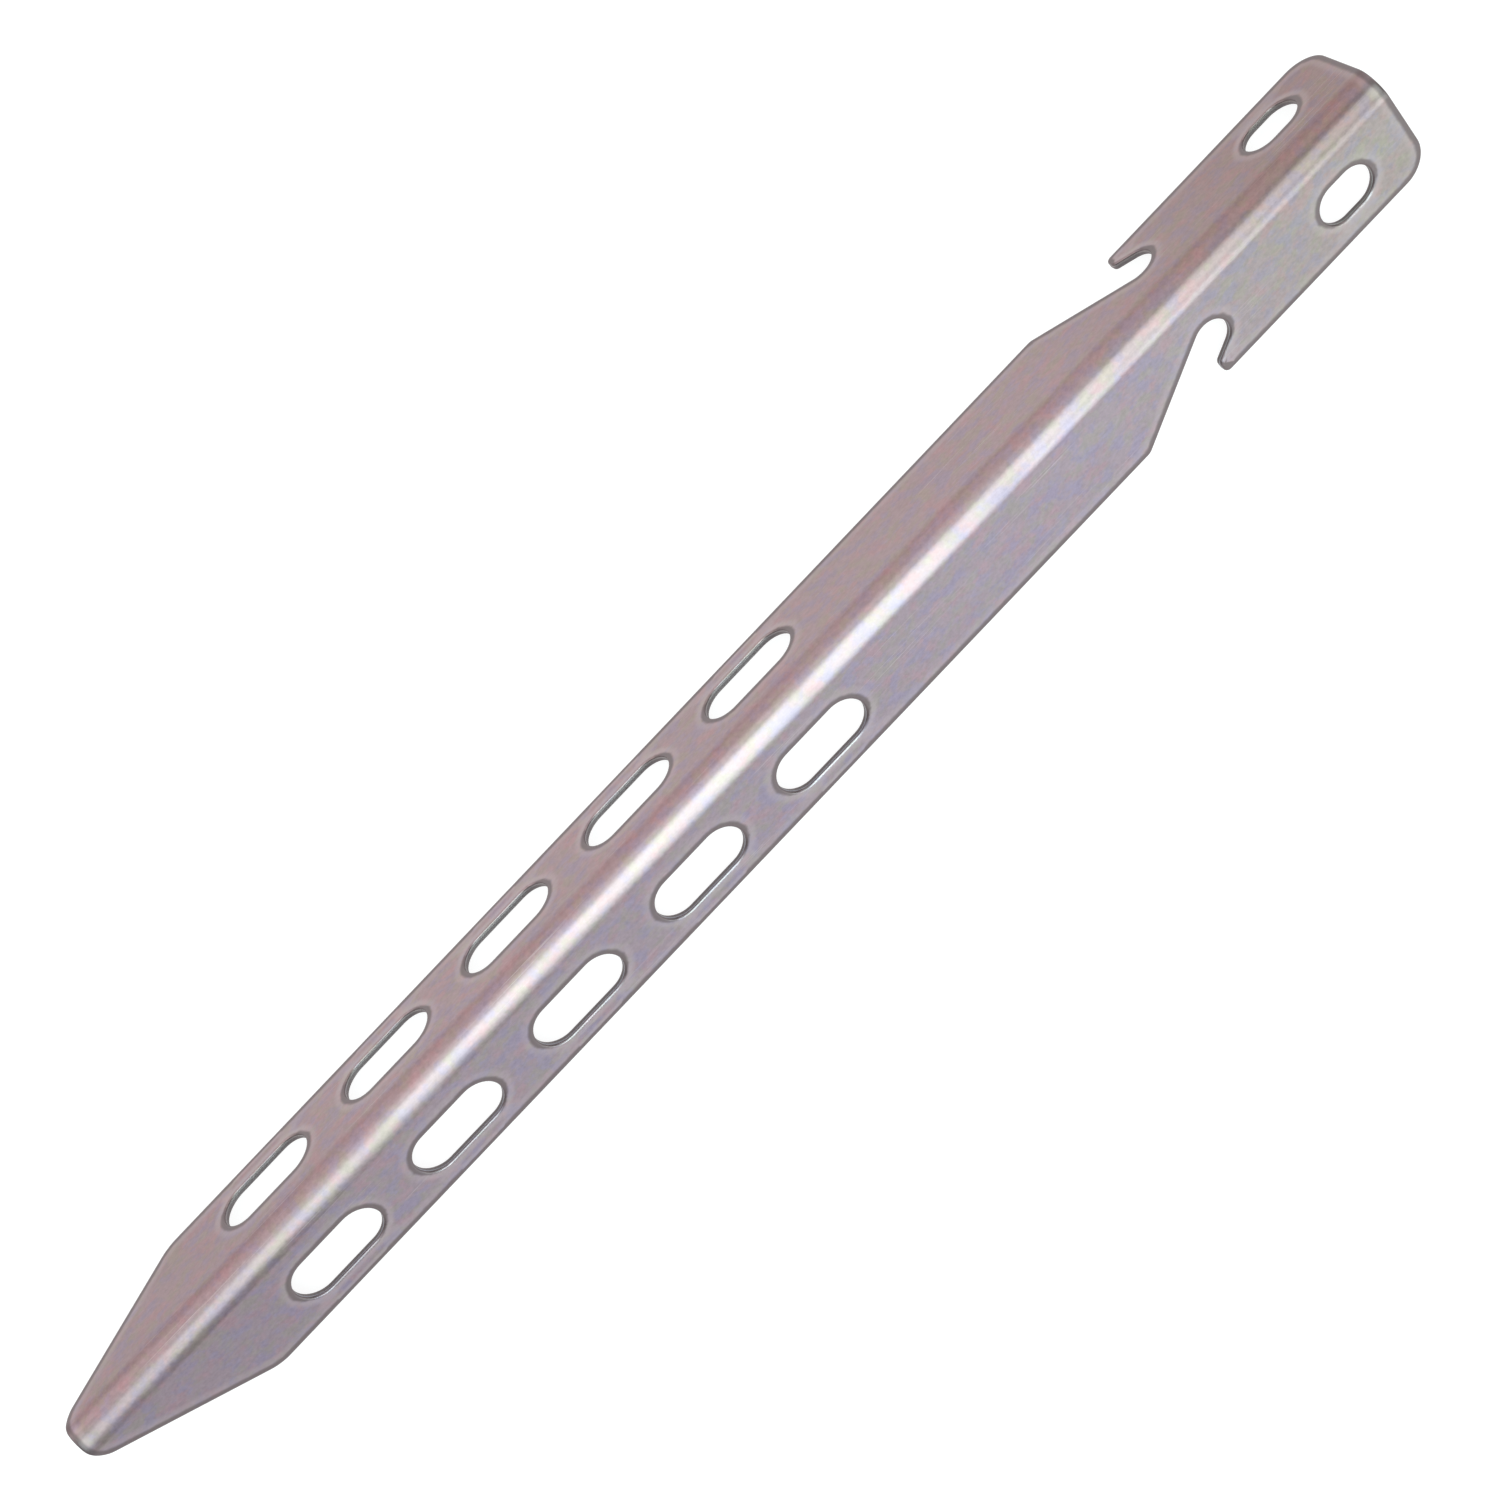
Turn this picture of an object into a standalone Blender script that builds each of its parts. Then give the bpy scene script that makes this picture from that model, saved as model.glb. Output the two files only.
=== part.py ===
"""A tent stake: one titanium sheet, punched flat and then folded lengthwise into a V.

Metres, +Z up. The stake lies ridge up along X, tip towards -X and head towards +X, on the
long edges of its two flanges. The origin is under the middle of its length, on the surface
that it lies on.

The script works as the real stake is made. It draws the flat blank, punches its slots, hook
notches and holes, gives it the sheet's thickness, and folds it over the bending tool's nose.
Distances across a flange are measured along its outer face from the sharp corner that the two
outer faces would meet in if the fold had no radius.
"""

import math

import bmesh
import bpy
from mathutils import Vector

MM = 0.001

# Sheet and fold
STAKE_LENGTH = 165.0 * MM
SHEET_THICKNESS = 0.7 * MM
FLANGE_WIDTH = 12.3 * MM
FOLD_ANGLE = math.radians(75.0)
FOLD_OUTER_RADIUS = 2.4 * MM

# Tip, measured from the tip's end
NOSE_HALF_WIDTH = 3.85 * MM
NOSE_RADIUS = 2.8 * MM
TAPER_LENGTH = 16.1 * MM
SHOULDER_RADIUS = 4.0 * MM

# Row of long slots in each flange, counted from the tip
SLOT_COUNT = 5
FIRST_SLOT_FROM_TIP = 27.5 * MM
SLOT_PITCH = 15.6 * MM
SLOT_LENGTH = 10.4 * MM
SLOT_WIDTH = 4.9 * MM

# Hook notch in each flange's edge, measured from the head's end
NOTCH_END_FROM_HEAD = 25.35 * MM
NOTCH_DEPTH = 4.3 * MM
NOTCH_WIDTH = 3.9 * MM
NOTCH_ANGLE = math.radians(31.7)
NOTCH_MOUTH_RADIUS = 1.0 * MM
BARB_TIP_FROM_HEAD = 26.2 * MM
BARB_RADIUS = 0.6 * MM

# Head
HEAD_CORNER_RADIUS = 3.0 * MM
LINE_HOLE_FROM_HEAD = 8.1 * MM
LINE_HOLE_LENGTH = 6.1 * MM
LINE_HOLE_WIDTH = 4.3 * MM

# How finely curves are cut into flat steps
FOLD_STEPS = 16
STEP_ANGLE = math.radians(9.0)

# Titanium as it leaves the press: warm grey, dull, with a faint pink cast
METAL_COLOUR = (0.33, 0.28, 0.285, 1.0)
METAL_ROUGHNESS = 0.42

# Worked out from the sizes above
HALF_TURN = 0.5 * (math.pi - FOLD_ANGLE)
FOLD_TANGENT = FOLD_OUTER_RADIUS * math.tan(HALF_TURN)
NEUTRAL_RADIUS = FOLD_OUTER_RADIUS - 0.5 * SHEET_THICKNESS
HALF_FOLD_ARC = NEUTRAL_RADIUS * HALF_TURN
FLAT_WIDTH = FLANGE_WIDTH - FOLD_TANGENT
HALF_BLANK = HALF_FOLD_ARC + FLAT_WIDTH
HOLE_LINE = HALF_FOLD_ARC + 0.5 * FLAT_WIDTH
FOLD_CENTRE_HEIGHT = (FLAT_WIDTH * math.sin(HALF_TURN)
                      - (FOLD_OUTER_RADIUS - SHEET_THICKNESS) * math.cos(HALF_TURN))


def clear_scene():
    """Remove every object, so that the part stands alone in the file."""
    for old in list(bpy.data.objects):
        bpy.data.objects.remove(old, do_unlink=True)


def across_blank(distance):
    """Turn a distance from the fold's sharp corner into one across the flat blank."""
    return distance - FOLD_TANGENT + HALF_FOLD_ARC


def rounded_corner(before, corner, after, radius):
    """Points of the arc that rounds one corner of an outline, from before to after."""
    to_before = (before - corner).normalized()
    to_after = (after - corner).normalized()
    opening = to_before.angle(to_after)
    setback = radius / math.tan(0.5 * opening)
    reach = radius / math.sin(0.5 * opening)
    centre = corner + (to_before + to_after).normalized() * reach
    start = corner + to_before * setback - centre
    turn = math.pi - opening
    if to_before.cross(to_after) > 0.0:
        turn = -turn
    steps = max(2, math.ceil(abs(turn) / STEP_ANGLE))
    first = math.atan2(start.y, start.x)
    points = []
    for step in range(steps + 1):
        angle = first + turn * step / steps
        points.append(centre + radius * Vector((math.cos(angle), math.sin(angle))))
    return points


def rounded_outline(corners):
    """Closed outline through (point, radius) corners, each rounded by its own radius."""
    outline = []
    count = len(corners)
    for index, (corner, radius) in enumerate(corners):
        before = corners[index - 1][0]
        after = corners[(index + 1) % count][0]
        outline.extend(rounded_corner(before, corner, after, radius))
    return outline


def notch_corners():
    """Corners of the hook notch in the +Y flange: a slanting slot with a blunt barb over it."""
    inward = Vector((math.cos(NOTCH_ANGLE), -math.sin(NOTCH_ANGLE)))
    to_barb = Vector((math.sin(NOTCH_ANGLE), math.cos(NOTCH_ANGLE)))
    half_width = 0.5 * NOTCH_WIDTH
    centre = Vector((STAKE_LENGTH - NOTCH_END_FROM_HEAD, HALF_BLANK - NOTCH_DEPTH))
    ramp_point = centre - to_barb * half_width
    barb_point = centre + to_barb * half_width
    mouth = ramp_point + inward * ((HALF_BLANK - ramp_point.y) / inward.y)
    barb_along = STAKE_LENGTH - BARB_TIP_FROM_HEAD
    barb = barb_point + inward * ((barb_along - barb_point.x) / inward.x)
    return [
        (mouth, NOTCH_MOUTH_RADIUS),
        (ramp_point + inward * half_width, half_width),
        (barb_point + inward * half_width, half_width),
        (barb, BARB_RADIUS),
        (Vector((barb_along, HALF_BLANK)), BARB_RADIUS),
    ]


def blank_outline():
    """Outline of the flat blank, the same on both sides of the fold line."""
    side = [
        (Vector((0.0, across_blank(NOSE_HALF_WIDTH))), NOSE_RADIUS),
        (Vector((TAPER_LENGTH, HALF_BLANK)), SHOULDER_RADIUS),
        *notch_corners(),
        (Vector((STAKE_LENGTH, HALF_BLANK)), HEAD_CORNER_RADIUS),
    ]
    other_side = [(Vector((point.x, -point.y)), radius) for point, radius in reversed(side)]
    return rounded_outline(side + other_side)


def long_hole(along, across, length, width):
    """Outline of a hole with straight sides and full round ends, lying along the stake."""
    radius = 0.5 * width
    half_length = 0.5 * length
    corners = [
        (Vector((along - half_length, across - radius)), radius),
        (Vector((along + half_length, across - radius)), radius),
        (Vector((along + half_length, across + radius)), radius),
        (Vector((along - half_length, across + radius)), radius),
    ]
    return rounded_outline(corners)


def punched_holes():
    """Outlines of every slot and line hole, on the middle line of each flange's flat."""
    holes = []
    for side in (-1.0, 1.0):
        across = side * HOLE_LINE
        for number in range(SLOT_COUNT):
            along = FIRST_SLOT_FROM_TIP + number * SLOT_PITCH
            holes.append(long_hole(along, across, SLOT_LENGTH, SLOT_WIDTH))
        along = STAKE_LENGTH - LINE_HOLE_FROM_HEAD
        holes.append(long_hole(along, across, LINE_HOLE_LENGTH, LINE_HOLE_WIDTH))
    return holes


def draw_loop(mesh, outline):
    """Add one closed loop of edges to the mesh."""
    tolerance = 0.001 * MM
    points = [point for index, point in enumerate(outline)
              if (point - outline[index - 1]).length > tolerance]
    verts = [mesh.verts.new((point.x, point.y, 0.0)) for point in points]
    for index, vert in enumerate(verts):
        mesh.edges.new((verts[index - 1], vert))


def flat_blank():
    """Mesh of the flat blank, one face deep, split along the lines that the fold follows."""
    mesh = bmesh.new()
    draw_loop(mesh, blank_outline())
    for hole in punched_holes():
        draw_loop(mesh, hole)
    bmesh.ops.triangle_fill(mesh, use_beauty=True, use_dissolve=False, edges=mesh.edges[:])
    for step in range(FOLD_STEPS + 1):
        across = HALF_FOLD_ARC * (2.0 * step / FOLD_STEPS - 1.0)
        everything = mesh.verts[:] + mesh.edges[:] + mesh.faces[:]
        bmesh.ops.bisect_plane(mesh, geom=everything, dist=0.0001 * MM,
                               plane_co=(0.0, across, 0.0), plane_no=(0.0, 1.0, 0.0))
    return mesh


def thicken(mesh):
    """Pull a second skin out of the blank, one sheet thickness below the first."""
    grown = bmesh.ops.extrude_face_region(mesh, geom=mesh.faces[:])
    lower = [item for item in grown["geom"] if isinstance(item, bmesh.types.BMVert)]
    bmesh.ops.translate(mesh, verts=lower, vec=(0.0, 0.0, -SHEET_THICKNESS))
    bmesh.ops.recalc_face_normals(mesh, faces=mesh.faces[:])


def fold(mesh):
    """Bend the thick blank down over the fold and set it on its flange edges."""
    for vert in mesh.verts:
        along, across, height = vert.co
        turn = max(-HALF_TURN, min(HALF_TURN, across / NEUTRAL_RADIUS))
        radius = FOLD_OUTER_RADIUS + height
        past_fold = across - turn * NEUTRAL_RADIUS
        vert.co = (
            along - 0.5 * STAKE_LENGTH,
            radius * math.sin(turn) + past_fold * math.cos(turn),
            FOLD_CENTRE_HEIGHT + radius * math.cos(turn) - past_fold * math.sin(turn),
        )


def titanium():
    """Material of the bare folded sheet."""
    metal = bpy.data.materials.new("titanium")
    metal.use_nodes = True
    shader = metal.node_tree.nodes["Principled BSDF"]
    shader.inputs["Base Color"].default_value = METAL_COLOUR
    shader.inputs["Metallic"].default_value = 1.0
    shader.inputs["Roughness"].default_value = METAL_ROUGHNESS
    return metal


def add_stake_body():
    """Make the folded stake as one object."""
    mesh = flat_blank()
    thicken(mesh)
    fold(mesh)
    data = bpy.data.meshes.new("stake_body")
    mesh.to_mesh(data)
    mesh.free()
    data.materials.append(titanium())
    data.shade_smooth()
    data.set_sharp_from_angle(angle=math.radians(30.0))
    stake = bpy.data.objects.new("stake_body", data)
    bpy.context.scene.collection.objects.link(stake)
    return stake


clear_scene()
add_stake_body()
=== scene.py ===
"""Scene of a folded titanium tent stake lying on a pale lit table.

Metres, +Z up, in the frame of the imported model: the stake lies ridge up along X with its tip
towards -X, on the long edges of its two flanges.

The stake is one sheet, and it is made here in the order in which the real one is made. A flat
blank is cut and punched, its cut edges are rounded over, and the blank is then folded lengthwise
over the bending tool's nose. While the blank is flat, each point keeps a note of its place on the
sheet, so the grain of the rolled metal runs on unbroken through the fold.
"""

import logging
import math
from dataclasses import dataclass, field
from enum import Enum
from typing import Callable
import bmesh
import bpy
from mathutils import Matrix, Quaternion, Vector
from mathutils.bvhtree import BVHTree


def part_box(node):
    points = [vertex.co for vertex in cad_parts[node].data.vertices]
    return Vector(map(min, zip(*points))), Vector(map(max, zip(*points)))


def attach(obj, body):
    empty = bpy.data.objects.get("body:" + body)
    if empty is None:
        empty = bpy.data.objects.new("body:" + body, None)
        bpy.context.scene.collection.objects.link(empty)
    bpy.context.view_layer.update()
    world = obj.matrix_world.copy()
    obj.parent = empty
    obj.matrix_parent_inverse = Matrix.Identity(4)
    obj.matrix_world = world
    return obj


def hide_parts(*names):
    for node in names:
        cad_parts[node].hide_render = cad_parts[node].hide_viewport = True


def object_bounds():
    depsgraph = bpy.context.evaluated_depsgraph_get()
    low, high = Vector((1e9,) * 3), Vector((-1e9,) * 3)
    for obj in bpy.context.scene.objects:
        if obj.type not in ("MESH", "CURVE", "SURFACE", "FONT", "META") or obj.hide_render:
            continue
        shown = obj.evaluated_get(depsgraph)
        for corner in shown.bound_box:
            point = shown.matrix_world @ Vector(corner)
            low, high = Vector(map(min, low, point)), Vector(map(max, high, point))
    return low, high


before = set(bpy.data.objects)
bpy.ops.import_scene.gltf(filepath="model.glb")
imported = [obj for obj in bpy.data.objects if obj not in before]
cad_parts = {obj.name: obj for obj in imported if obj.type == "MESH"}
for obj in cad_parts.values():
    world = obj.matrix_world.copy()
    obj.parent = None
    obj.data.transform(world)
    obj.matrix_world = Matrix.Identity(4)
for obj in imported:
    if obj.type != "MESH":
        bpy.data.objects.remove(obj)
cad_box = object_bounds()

LOG = logging.getLogger("tent_stake")
MM = 0.001
MERGE_GAP = 0.002 * MM
SAME_PLACE = 0.001 * MM
CORNER_REACH = 0.01 * MM

# Height of a face's normal: at most on a cut wall, and at least on either skin
WALL_NORMAL = 0.05
SKIN_NORMAL = 0.999

Colour = tuple[float, float, float, float]
Feed = bpy.types.NodeSocket | float | Colour
WHITE: Colour = (1.0, 1.0, 1.0, 1.0)


# ---- Bench work: small helpers round Blender's own modelling tools ----


def clear_selection() -> None:
    """Leave object mode with nothing selected and nothing active."""
    if bpy.context.mode != "OBJECT":
        bpy.ops.object.mode_set(mode="OBJECT")
    bpy.ops.object.select_all(action="DESELECT")
    bpy.context.view_layer.objects.active = None


def take_up(piece: bpy.types.Object) -> None:
    """Make one piece the only selected and active object."""
    clear_selection()
    piece.select_set(True)
    bpy.context.view_layer.objects.active = piece


def open_mesh(piece: bpy.types.Object) -> None:
    """Go into edit mode on one piece with nothing in it selected."""
    take_up(piece)
    bpy.ops.object.mode_set(mode="EDIT")
    bpy.ops.mesh.select_all(action="DESELECT")


def close_mesh() -> None:
    """Go back to object mode."""
    bpy.ops.object.mode_set(mode="OBJECT")


def add_block(name: str, centre: Vector, size: Vector) -> bpy.types.Object:
    """Add a block at its size and place, with that place kept in its mesh.

    Args:
        name: Name of the new object and its mesh.
        centre: Middle of the block, in metres.
        size: Full length of its sides along X, Y and Z.

    Returns:
        The block, with its object at the origin.
    """
    clear_selection()
    bpy.ops.mesh.primitive_cube_add(size=1.0, location=centre, scale=size)
    block = bpy.context.object
    block.name = name
    block.data.name = name
    bpy.ops.object.transform_apply(location=True, rotation=True, scale=True)
    return block


class Element(Enum):
    """What is selected in an open mesh, by the name of its select mode."""

    EDGE = "edges"
    FACE = "faces"


def pick(piece: bpy.types.Object, kind: Element,
         wanted: Callable[[bmesh.types.BMEdge | bmesh.types.BMFace], bool]) -> int:
    """Select the edges or faces of the open mesh that pass a test of their place or normal.

    Args:
        piece: Object whose mesh is open in edit mode.
        kind: Whether edges or faces are tested.
        wanted: Test that is true for what to select.

    Returns:
        How many are selected.
    """
    bpy.ops.mesh.select_mode(type=kind.name)
    bpy.ops.mesh.select_all(action="DESELECT")
    mesh = bmesh.from_edit_mesh(piece.data)
    picked = [item for item in getattr(mesh, kind.value) if wanted(item)]
    for item in picked:
        item.select_set(True)
    bmesh.update_edit_mesh(piece.data)
    return len(picked)


def pick_verts(piece: bpy.types.Object, numbers: set[int]) -> None:
    """Select the vertices of the open mesh that have these index numbers."""
    bpy.ops.mesh.select_mode(type="VERT")
    bpy.ops.mesh.select_all(action="DESELECT")
    mesh = bmesh.from_edit_mesh(piece.data)
    mesh.verts.ensure_lookup_table()
    for number in numbers:
        mesh.verts[number].select_set(True)
    bmesh.update_edit_mesh(piece.data)


def slice_mesh(point: Vector, normal: Vector, cut_away: bool = False) -> None:
    """Cut all of the open mesh along a plane.

    Args:
        point: A point of the plane.
        normal: The plane's normal.
        cut_away: Whether what lies on the normal's side goes, and the cut is closed.
    """
    bpy.ops.mesh.select_all(action="SELECT")
    bpy.ops.mesh.bisect(plane_co=point, plane_no=normal, use_fill=cut_away,
                        clear_outer=cut_away, threshold=MERGE_GAP)


def bevel_picked(radius: float, steps: int, **options: str) -> None:
    """Bevel the selected edges of the open mesh.

    Args:
        radius: How far the bevel reaches on either side.
        steps: How many flat steps it has.
        options: Further settings of the bevel.
    """
    bpy.ops.mesh.bevel(offset=radius, offset_type="OFFSET", affect="EDGES", segments=steps,
                       profile=0.5, clamp_overlap=False, **options)


def round_ends(punch: bpy.types.Object, radius: float, steps: int, from_x: float) -> None:
    """Round the upright edges of an open punch, past a place along it, into full round ends."""
    pick(punch, Element.EDGE, lambda edge: (
        (edge.verts[0].co.xy - edge.verts[1].co.xy).length < SAME_PLACE
        and edge.verts[0].co.x > from_x))
    bevel_picked(radius, steps)
    bpy.ops.mesh.select_all(action="SELECT")
    bpy.ops.mesh.remove_doubles(threshold=SAME_PLACE)


def take_out(piece: bpy.types.Object, cutter: bpy.types.Object) -> None:
    """Punch a cutter's shape out of a piece, and throw the cutter away.

    Args:
        piece: Object that loses the cutter's shape.
        cutter: Closed solid, removed afterwards with its mesh.
    """
    take_up(piece)
    punch = piece.modifiers.new("punch", "BOOLEAN")
    punch.operation = "DIFFERENCE"
    punch.solver = "EXACT"
    punch.object = cutter
    bpy.ops.object.modifier_apply(modifier=punch.name)
    spent = cutter.data
    bpy.data.objects.remove(cutter, do_unlink=True)
    bpy.data.meshes.remove(spent)


def join_up(parts: list[bpy.types.Object]) -> bpy.types.Object:
    """Join several objects into the first of them, and return it."""
    clear_selection()
    for part in parts:
        part.select_set(True)
    bpy.context.view_layer.objects.active = parts[0]
    bpy.ops.object.join()
    return parts[0]


# ---- Shader bench: node groups that several finishes share ----


class SocketKind(Enum):
    """Kinds of socket that a finish's node groups have."""

    NUMBER = "NodeSocketFloat"
    COLOUR = "NodeSocketColor"
    VECTOR = "NodeSocketVector"


class EffectGroup:
    """A shader node group with named inputs and outputs, made once and used by many finishes."""

    def __init__(self, name: str) -> None:
        """Start a group that is told the place on the sheet.

        Args:
            name: What the group is called.
        """
        self.tree = bpy.data.node_groups.new(name, "ShaderNodeTree")
        self.source = self.tree.nodes.new("NodeGroupInput")
        self.sink = self.tree.nodes.new("NodeGroupOutput")
        self.place, = self.takes(SocketKind.VECTOR, "Place")

    def takes(self, kind: SocketKind, *names: str) -> list[bpy.types.NodeSocket]:
        """Give the group inputs of one kind.

        Args:
            kind: What they carry.
            names: Names of the inputs.

        Returns:
            The sockets that nodes inside the group read, in the same order.
        """
        for name in names:
            self.tree.interface.new_socket(name=name, in_out="INPUT", socket_type=kind.value)
        return [self.source.outputs[name] for name in names]

    def gives(self, name: str, kind: SocketKind, result: bpy.types.NodeSocket) -> None:
        """Give the group an output, fed by a socket inside it."""
        self.tree.interface.new_socket(name=name, in_out="OUTPUT", socket_type=kind.value)
        self.tree.links.new(result, self.sink.inputs[name])


def feed(tree: bpy.types.NodeTree, target: bpy.types.NodeSocket, value: Feed) -> None:
    """Link a socket, or set its value, whichever was given."""
    if isinstance(value, bpy.types.NodeSocket):
        tree.links.new(value, target)
    else:
        target.default_value = value


def calc(tree: bpy.types.NodeTree, operation: str, *values: Feed,
         clamp: bool = False) -> bpy.types.NodeSocket:
    """Work out one number from others.

    Args:
        tree: Node tree to add to.
        operation: Name of the Math node's operation.
        values: Sockets or numbers to work on.
        clamp: Whether the result is held between 0 and 1.

    Returns:
        The socket with the result.
    """
    node = tree.nodes.new("ShaderNodeMath")
    node.operation = operation
    node.use_clamp = clamp
    for number, value in enumerate(values):
        feed(tree, node.inputs[number], value)
    return node.outputs[0]


def swing(tree: bpy.types.NodeTree, noise: bpy.types.NodeSocket,
          amount: Feed) -> bpy.types.NodeSocket:
    """Turn noise that averages 0.5 into a swing to both sides of zero, times an amount."""
    return calc(tree, "MULTIPLY", calc(tree, "SUBTRACT", noise, 0.5), amount)


def spread(tree: bpy.types.NodeTree, value: bpy.types.NodeSocket, low: float, high: float,
           to_low: float = 0.0, to_high: float = 1.0) -> bpy.types.NodeSocket:
    """Stretch the part of a value between low and high over a new range, with soft ends."""
    node = tree.nodes.new("ShaderNodeMapRange")
    node.interpolation_type = "SMOOTHSTEP"
    feed(tree, node.inputs["Value"], value)
    node.inputs["From Min"].default_value = low
    node.inputs["From Max"].default_value = high
    node.inputs["To Min"].default_value = to_low
    node.inputs["To Max"].default_value = to_high
    return node.outputs["Result"]


def blend_colours(tree: bpy.types.NodeTree, amount: Feed, first: Feed, second: Feed,
                  mode: str = "MIX") -> bpy.types.NodeSocket:
    """Blend two colours.

    Args:
        tree: Node tree to add to.
        amount: How much of the second one shows.
        first: The colour underneath.
        second: The colour on top.
        mode: How the Mix node blends them.

    Returns:
        The socket with the blend.
    """
    node = tree.nodes.new("ShaderNodeMix")
    node.data_type = "RGBA"
    node.blend_type = mode
    feed(tree, node.inputs[0], amount)
    feed(tree, node.inputs[6], first)
    feed(tree, node.inputs[7], second)
    return node.outputs[2]


def patches(tree: bpy.types.NodeTree, place: bpy.types.NodeSocket, pitch: Vector,
            detail: float, rough: float, offset: float) -> bpy.types.NodeSocket:
    """Noise whose patches have a real size along and across the sheet.

    Args:
        tree: Node tree to add to.
        place: Place on the sheet, in metres.
        pitch: Size of a patch along X, Y and Z, in metres.
        detail: How many finer layers ride on the patches.
        rough: How strong the finer layers are.
        offset: Shift that makes one use of the noise unlike the next.

    Returns:
        The socket with the noise, about 0.5 on average.
    """
    scale = tree.nodes.new("ShaderNodeMapping")
    scale.inputs["Scale"].default_value = [1.0 / side for side in pitch]
    scale.inputs["Location"].default_value = (offset, 0.37 * offset, 0.71 * offset)
    noise = tree.nodes.new("ShaderNodeTexNoise")
    noise.inputs["Scale"].default_value = 1.0
    noise.inputs["Detail"].default_value = detail
    noise.inputs["Roughness"].default_value = rough
    tree.links.new(place, scale.inputs["Vector"])
    tree.links.new(scale.outputs["Vector"], noise.inputs["Vector"])
    return noise.outputs["Fac"]


@dataclass
class SharedEffects:
    """The effects that every titanium finish is dressed with."""

    streak_length: float = 9.0 * MM
    streak_width: float = 0.11 * MM
    pit_size: float = 0.32 * MM
    cloud_size: float = 1.7 * MM
    cloud_cover: tuple[float, float] = (0.46, 0.64)

    # Distances from a cut wall: painted edge shade line and painted highlight band
    line_start: float = 0.42 * MM
    line_end: float = 0.8 * MM
    line_wander: float = 0.16 * MM
    band_start: float = 0.95 * MM
    band_end: float = 1.6 * MM
    inner_lap: float = 0.6 * MM
    inner_gain: float = 0.9

    # Distances across from the ridge and along from the stake's middle: painted light and shade
    drift_from: float = 0.7 * MM
    drift_to: float = 2.4 * MM
    head_from: float = 38.0 * MM
    head_to: float = 80.0 * MM
    tip_from: float = -38.0 * MM
    tip_to: float = -68.0 * MM

    # Depths below the outer face
    torn_from: float = 0.24 * MM
    torn_to: float = 0.36 * MM
    torn_wander: float = 0.2 * MM

    scratch_cover: tuple[float, float] = (0.66, 0.74)
    scratched_area: tuple[float, float] = (0.5, 0.62)
    rub_cover: tuple[float, float] = (0.45, 0.7)
    groups: dict[str, bpy.types.NodeTree] = field(default_factory=dict)

    def build(self) -> None:
        """Make every shared node group."""
        for make in (self.rolled_grain, self.oxide_tint, self.oxide_drift, self.edge_tone,
                     self.punch_scoring, self.handling_marks):
            self.groups[make.__name__] = make()
            LOG.info("shared effect %s", make.__name__)

    def rolled_grain(self) -> bpy.types.NodeTree:
        """Grain of pickled rolled sheet: long fine streaks with fine pits among them."""
        group = EffectGroup("rolled_grain")
        tree, place = group.tree, group.place
        streak_part, pit_part = group.takes(SocketKind.NUMBER, "Streaks", "Pits")
        streaks = patches(tree, place, Vector((self.streak_length, self.streak_width,
                                               self.streak_width)), 3.0, 0.6, 3.1)
        pits = patches(tree, place, Vector((1.3, 1.0, 1.0)) * self.pit_size, 2.0, 0.6, 7.7)
        height = calc(tree, "ADD", swing(tree, streaks, streak_part),
                      swing(tree, pits, pit_part))
        group.gives("Height", SocketKind.NUMBER, height)
        group.gives("Tone", SocketKind.NUMBER, calc(tree, "ADD", height, 0.5, clamp=True))
        return tree

    def oxide_tint(self) -> bpy.types.NodeTree:
        """Thin oxide that tints the metal in clouds: pink, olive and violet by turns."""
        group = EffectGroup("oxide_tint")
        tree, place = group.tree, group.place
        tinted, warm, olive, violet = group.takes(SocketKind.COLOUR, "Metal", "Warm cloud",
                                                  "Olive cloud", "Violet cloud")
        amount, = group.takes(SocketKind.NUMBER, "Amount")
        for cloud, shape, offset in ((warm, Vector((1.3, 1.0, 1.0)), 11.0),
                                     (olive, Vector((1.1, 0.8, 0.8)), 23.0),
                                     (violet, Vector((1.2, 0.9, 0.9)), 41.0)):
            noise = patches(tree, place, shape * self.cloud_size, 3.0, 0.6, offset)
            cover = spread(tree, noise, *self.cloud_cover)
            tinted = blend_colours(tree, calc(tree, "MULTIPLY", cover, amount), tinted, cloud)
        group.gives("Colour", SocketKind.COLOUR, tinted)
        return tree

    def oxide_drift(self) -> bpy.types.NodeTree:
        """Painted light and shade over the whole sheet, from flange to flange and end to end.

        The right flange gets a painted cool light and its head end painted light; the left
        flange's head end and the tip get painted shade.
        """
        group = EffectGroup("oxide_drift")
        tree, place = group.tree, group.place
        drifted, cool, pale, brown, deep = group.takes(
            SocketKind.COLOUR, "Colour", "Right flange", "Right head", "Left head", "Tip")
        split = tree.nodes.new("ShaderNodeSeparateXYZ")
        tree.links.new(place, split.inputs["Vector"])
        along, across = split.outputs["X"], split.outputs["Y"]
        right = spread(tree, calc(tree, "MULTIPLY", across, -1.0), self.drift_from,
                       self.drift_to)
        head = spread(tree, along, self.head_from, self.head_to)
        tip = spread(tree, calc(tree, "MULTIPLY", along, -1.0), -self.tip_from, -self.tip_to)
        left = calc(tree, "SUBTRACT", 1.0, right)
        # Right flange: painted cool light; right head: painted light; left head and tip: painted
        # shade
        for cover, tint in ((right, cool), (calc(tree, "MULTIPLY", head, right), pale),
                            (calc(tree, "MULTIPLY", head, left), brown), (tip, deep)):
            drifted = blend_colours(tree, cover, drifted, tint, "MULTIPLY")
        group.gives("Colour", SocketKind.COLOUR, drifted)
        return tree

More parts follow.
